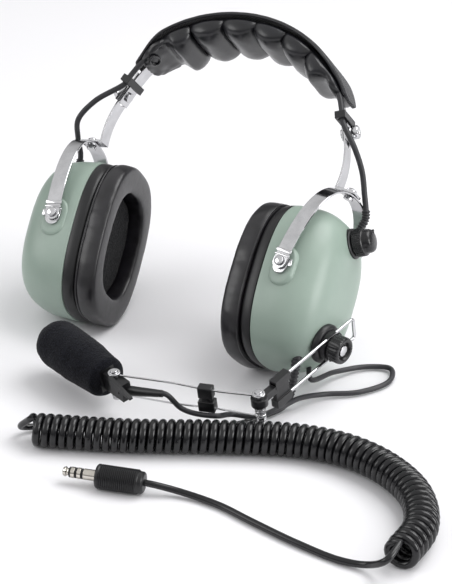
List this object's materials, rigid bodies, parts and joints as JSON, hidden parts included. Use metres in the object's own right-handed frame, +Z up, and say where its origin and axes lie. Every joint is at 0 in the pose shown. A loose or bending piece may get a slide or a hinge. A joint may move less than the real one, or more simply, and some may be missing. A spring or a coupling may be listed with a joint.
{
  "type": "aviation headset",
  "caption": "Passive aviation headset: padded sprung headband, tilting ear cups on chrome stirrups, wire boom microphone, volume knob, coiled cord and plug.",
  "frame": {"origin": "on the table the headset rests on, under the middle of the box around the headset, cord and plug", "axes": "+Z up from the table, +X towards the wearer's left, -Y towards the wearer's front"},
  "size_m": [0.3878, 0.3454, 0.2037],
  "materials": {
    "shell": "satin sage green",
    "vinyl": "soft black vinyl",
    "pad_vinyl": "quilted black vinyl",
    "foam": "open-cell acoustic foam",
    "windscreen_foam": "matte open-cell foam",
    "webbing": "woven nylon",
    "chrome": "polished",
    "steel": "brushed",
    "black_plastic": "moulded black",
    "knob_plastic": "moulded black, semi-gloss",
    "rubber": "cable jacket",
    "brass": "nickel-plated plug contacts"
  },
  "bodies": {
    "left_cup": {"left_dome": "shell", "left_ear_seal": "vinyl", "left_seal_flange": "black_plastic", "left_foam_liner": "foam", "left_speaker": "steel", "left_pivot_bracket_front": "chrome", "left_pivot_screw_front": "chrome", "left_pivot_bracket_rear": "chrome", "left_pivot_screw_rear": "chrome", "volume_control": "black_plastic", "boom_mount": "black_plastic", "cord_boot": "rubber", "coiled_cord": "rubber", "plug_handle": "black_plastic", "plug_sleeve": "brass", "plug_ring_rear": "brass", "plug_ring_front": "brass", "plug_insulator": "black_plastic", "plug_tip": "brass", "mic_cable": "rubber"},
    "volume_knob": {"volume_knob": "knob_plastic"},
    "boom_turret": {"boom_turret": "black_plastic"},
    "boom_knob": {"boom_knob": "knob_plastic", "boom_clamp_screw": "chrome"},
    "rear_boom": {"boom_wire": "chrome", "elbow_block": "black_plastic", "elbow_bolt": "chrome", "elbow_spring": "chrome"},
    "front_boom": {"mic_wire_upper": "chrome", "mic_wire_lower": "chrome", "boom_cable_clip": "black_plastic", "mic_bolt": "chrome"},
    "microphone": {"mic_bracket": "black_plastic", "mic_capsule": "black_plastic", "mic_windscreen": "windscreen_foam"},
    "left_stirrup": {"left_stirrup": "chrome"},
    "left_strap": {"left_strap": "chrome", "left_swivel_screw": "chrome"},
    "headband": {"headband_spring": "chrome", "headband_pad": "pad_vinyl", "headband_cover": "webbing", "left_clamp_plate": "chrome", "right_clamp_plate": "chrome", "left_cable_clip": "black_plastic", "right_cable_clip": "black_plastic", "crossover_cable": "rubber"},
    "left_thumb_screw": {"left_thumb_screw": "chrome"},
    "right_thumb_screw": {"right_thumb_screw": "chrome"},
    "right_strap": {"right_strap": "chrome", "right_swivel_screw": "chrome"},
    "right_stirrup": {"right_stirrup": "chrome"},
    "right_cup": {"right_dome": "shell", "right_ear_seal": "vinyl", "right_seal_flange": "black_plastic", "right_foam_liner": "foam", "right_speaker": "steel", "right_pivot_bracket_front": "chrome", "right_pivot_screw_front": "chrome", "right_pivot_bracket_rear": "chrome", "right_pivot_screw_rear": "chrome"}
  },
  "joints": [
    {"name": "volume_turn", "type": "hinge", "parent": "left_cup", "child": "volume_knob", "pos_m": [0.04213, 0.06156, 0.08761], "axis": [0.918, 0.1766, 0.355], "range_deg": [-135, 135]},
    {"name": "boom_swing", "type": "hinge", "parent": "left_cup", "child": "boom_turret", "pos_m": [0.05519, 0.00794, 0.0383], "axis": [0.984, -0.1779, -0.0046], "range_deg": [-75, 0.5], "deforming": ["mic_cable"]},
    {"name": "boom_knob_turn", "type": "hinge", "parent": "boom_turret", "child": "boom_knob", "pos_m": [0.05519, 0.00794, 0.0383], "axis": [0.984, -0.1779, -0.0046], "range_deg": [-180, 180]},
    {"name": "boom_slide", "type": "slide", "parent": "boom_turret", "child": "rear_boom", "axis": [-0.176, -0.9695, -0.1704], "range_m": [-0.012, 0.003], "deforming": ["mic_cable"]},
    {"name": "boom_elbow", "type": "hinge", "parent": "rear_boom", "child": "front_boom", "pos_m": [0.04199, -0.06477, 0.02552], "axis": [-0.0259, -0.1685, 0.9854], "range_deg": [-10, 3], "deforming": ["mic_cable"]},
    {"name": "microphone_turn", "type": "hinge", "parent": "front_boom", "child": "microphone", "pos_m": [-0.05495, -0.08499, 0.02307], "axis": [-0.0259, -0.1685, 0.9854], "range_deg": [-30, 10], "deforming": ["mic_cable"]},
    {"name": "left_tilt", "type": "hinge", "parent": "left_cup", "child": "left_stirrup", "pos_m": [0.02091, 0.03834, 0.06196], "axis": [0.1266, 0.718, -0.6844], "range_deg": [-8, 24], "deforming": ["crossover_cable"]},
    {"name": "left_swivel", "type": "hinge", "parent": "left_stirrup", "child": "left_strap", "pos_m": [0.02091, 0.03834, 0.06196], "axis": [0.0854, 0.6795, 0.7287], "range_deg": [-12, 12], "deforming": ["crossover_cable"]},
    {"name": "left_height", "type": "slide", "parent": "left_strap", "child": "headband", "axis": [-0.3875, 0.6287, 0.6742], "range_m": [-0.0072, 0.0098], "deforming": ["crossover_cable"]},
    {"name": "left_screw_turn", "type": "hinge", "parent": "headband", "child": "left_thumb_screw", "pos_m": [0.01418, 0.11399, 0.14307], "axis": [0.9219, 0.2643, 0.2834], "range_deg": [-180, 180]},
    {"name": "right_screw_turn", "type": "hinge", "parent": "headband", "child": "right_thumb_screw", "pos_m": [-0.17132, 0.10647, 0.13501], "axis": [-0.9613, 0.188, 0.2016], "range_deg": [-180, 180]},
    {"name": "right_height", "type": "slide", "parent": "headband", "child": "right_strap", "axis": [-0.2756, -0.6556, -0.703], "range_m": [-0.0047, 0.0123], "deforming": ["crossover_cable"]},
    {"name": "right_swivel", "type": "hinge", "parent": "right_strap", "child": "right_stirrup", "pos_m": [-0.16418, 0.03246, 0.05564], "axis": [-0.2028, 0.6678, 0.7162], "range_deg": [-12, 12], "deforming": ["crossover_cable"]},
    {"name": "right_tilt", "type": "hinge", "parent": "right_stirrup", "child": "right_cup", "pos_m": [-0.16418, 0.03246, 0.05564], "axis": [0.0666, -0.7203, 0.6905], "range_deg": [-14, 18], "deforming": ["crossover_cable"]}
  ]
}
